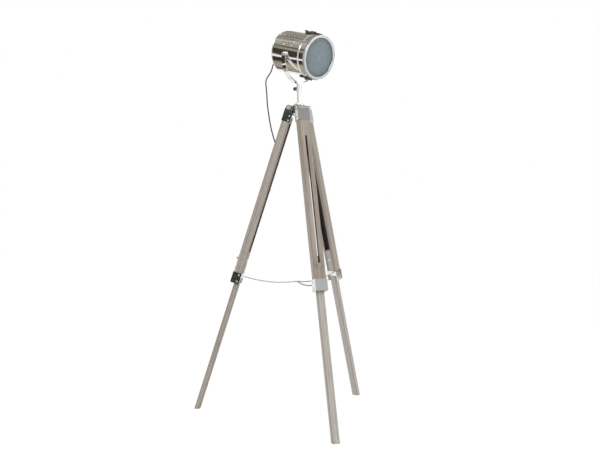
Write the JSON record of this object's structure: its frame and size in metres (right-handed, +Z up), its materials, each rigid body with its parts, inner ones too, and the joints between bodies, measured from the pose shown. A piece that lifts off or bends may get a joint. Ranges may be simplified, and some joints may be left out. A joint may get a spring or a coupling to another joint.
{
  "type": "tripod spotlight floor lamp",
  "caption": "Floor lamp: hinged-front drum spotlight in a tilting yoke on a folding wooden tripod with telescoping legs, spreader chain and tied supply cord.",
  "frame": {"origin": "on the floor, below the middle of the overall outline of the three feet", "axes": "+Z up; -Y towards the front leg; +X to the right seen from the front leg"},
  "size_m": [0.7296, 0.6322, 1.5047],
  "materials": {
    "wood": "open grain, grey-brown wash, dry matt",
    "chrome": "polished plating",
    "satin_silver": "satin silver",
    "reflector_metal": "spun, semi-bright",
    "steel": "nickel-plated fixings",
    "frosted_glass": "frosted, grey-green",
    "bulb_glass": "opal",
    "black_plastic": "fine matt",
    "cord_pvc": "soft sheath, low sheen"
  },
  "bodies": {
    "hub": {"hub": "chrome", "stem": "chrome", "hub_screws": "steel", "chain_ring": "chrome"},
    "front_leg": {"front_leg_cap": "chrome", "front_hinge_bolt": "steel", "front_upper_leg": "wood", "front_leg_bracket": "chrome", "front_leg_screws": "steel", "front_chain": "chrome"},
    "front_lower": {"front_lower_leg": "wood", "front_clamp_bolt": "steel"},
    "front_wing": {"front_wing_nut": "steel"},
    "left_leg": {"left_leg_cap": "chrome", "left_hinge_bolt": "steel", "left_upper_leg": "wood", "left_leg_bracket": "chrome", "left_leg_screws": "steel", "left_chain": "chrome", "cord_fold": "cord_pvc", "cord_leg": "cord_pvc", "cord_hank": "cord_pvc", "cord_ties": "black_plastic", "switch_body": "black_plastic", "plug": "black_plastic"},
    "left_lower": {"left_lower_leg": "wood", "left_clamp_bolt": "steel"},
    "left_wing": {"left_wing_nut": "steel"},
    "right_leg": {"right_leg_cap": "chrome", "right_hinge_bolt": "steel", "right_upper_leg": "wood", "right_leg_bracket": "chrome", "right_leg_screws": "steel", "right_chain": "chrome"},
    "right_lower": {"right_lower_leg": "wood", "right_clamp_bolt": "steel"},
    "right_wing": {"right_wing_nut": "steel"},
    "yoke": {"yoke": "chrome", "yoke_socket": "chrome", "cord_pan": "cord_pvc"},
    "thumbscrew": {"stem_thumbscrew": "steel"},
    "head": {"drum": "chrome", "rear_cover": "chrome", "pivot_bolts": "steel", "reflector": "reflector_metal", "lamp_holder": "black_plastic", "bulb": "bulb_glass", "latch_base": "steel", "hinge_base": "steel", "hinge_pin": "steel", "cord_gland": "black_plastic", "cord_tilt": "cord_pvc"},
    "door": {"front_collar": "chrome", "bezel": "satin_silver", "lens": "frosted_glass", "hinge_leaf": "steel", "latch_keeper": "steel"},
    "lever": {"latch_lever": "chrome"},
    "bail": {"latch_bail": "steel"},
    "rocker": {"switch_rocker": "black_plastic"}
  },
  "joints": [
    {"name": "front_fold", "type": "hinge", "parent": "hub", "child": "front_leg", "pos_m": [0, 0.06292, 1.199], "axis": [-1, 0, 0], "range_deg": [-13.5, 0], "deforming": ["front_chain"]},
    {"name": "front_extend", "type": "slide", "parent": "front_leg", "child": "front_lower", "axis": [0, 0.3024, 0.9532], "range_m": [0, 0.49]},
    {"name": "front_wing_turn", "type": "hinge", "parent": "front_lower", "child": "front_wing", "pos_m": [0, -0.14384, 0.61204], "axis": [0, -0.9532, 0.3024], "continuous": true},
    {"name": "left_fold", "type": "hinge", "parent": "hub", "child": "left_leg", "pos_m": [-0.03031, 0.11542, 1.199], "axis": [0.5, 0.866, 0], "range_deg": [-13.5, 0], "deforming": ["left_chain", "cord_fold"]},
    {"name": "left_extend", "type": "slide", "parent": "left_leg", "child": "left_lower", "axis": [0.2619, -0.1512, 0.9532], "range_m": [0, 0.49]},
    {"name": "left_wing_turn", "type": "hinge", "parent": "left_lower", "child": "left_wing", "pos_m": [-0.20937, 0.2188, 0.61204], "axis": [-0.8255, 0.4766, 0.3024], "continuous": true},
    {"name": "right_fold", "type": "hinge", "parent": "hub", "child": "right_leg", "pos_m": [0.03031, 0.11542, 1.199], "axis": [0.5, -0.866, 0], "range_deg": [-13.5, 0], "deforming": ["right_chain"]},
    {"name": "right_extend", "type": "slide", "parent": "right_leg", "child": "right_lower", "axis": [-0.2619, -0.1512, 0.9532], "range_m": [0, 0.49]},
    {"name": "right_wing_turn", "type": "hinge", "parent": "right_lower", "child": "right_wing", "pos_m": [0.20937, 0.2188, 0.61204], "axis": [0.8255, 0.4766, 0.3024], "continuous": true},
    {"name": "head_pan", "type": "hinge", "parent": "hub", "child": "yoke", "pos_m": [0, 0.09792, 1.27], "axis": [0, 0, 1], "range_deg": [-120, 120], "deforming": ["cord_pan"]},
    {"name": "thumbscrew_turn", "type": "hinge", "parent": "yoke", "child": "thumbscrew", "pos_m": [0, 0.09792, 1.275], "axis": [-0.4431, 0.8965, 0], "continuous": true},
    {"name": "head_tilt", "type": "hinge", "parent": "yoke", "child": "head", "pos_m": [0, 0.09792, 1.3985], "axis": [-0.8965, -0.4431, 0], "range_deg": [-16, 49], "deforming": ["cord_tilt"]},
    {"name": "front_door", "type": "hinge", "parent": "head", "child": "door", "pos_m": [0.02227, 0.05286, 1.30661], "axis": [0.8965, 0.4431, 0], "range_deg": [0, 100]},
    {"name": "latch_lever_turn", "type": "hinge", "parent": "head", "child": "lever", "pos_m": [0.03329, 0.03056, 1.48077], "axis": [0.8965, 0.4431, 0], "range_deg": [0, 150]},
    {"name": "latch_bail_turn", "type": "hinge", "parent": "lever", "child": "bail", "pos_m": [0.0284, 0.04046, 1.48197], "axis": [0.8965, 0.4431, 0], "range_deg": [-150, 0]},
    {"name": "switch_rock", "type": "hinge", "parent": "left_leg", "child": "rocker", "pos_m": [-0.07898, 0.18716, 0.96462], "axis": [0.8255, -0.4766, -0.3024], "range_deg": [-16, 0]}
  ],
  "couplings": [
    {"joint": "latch_bail_turn", "follows": "latch_lever_turn", "ratio": -1}
  ]
}
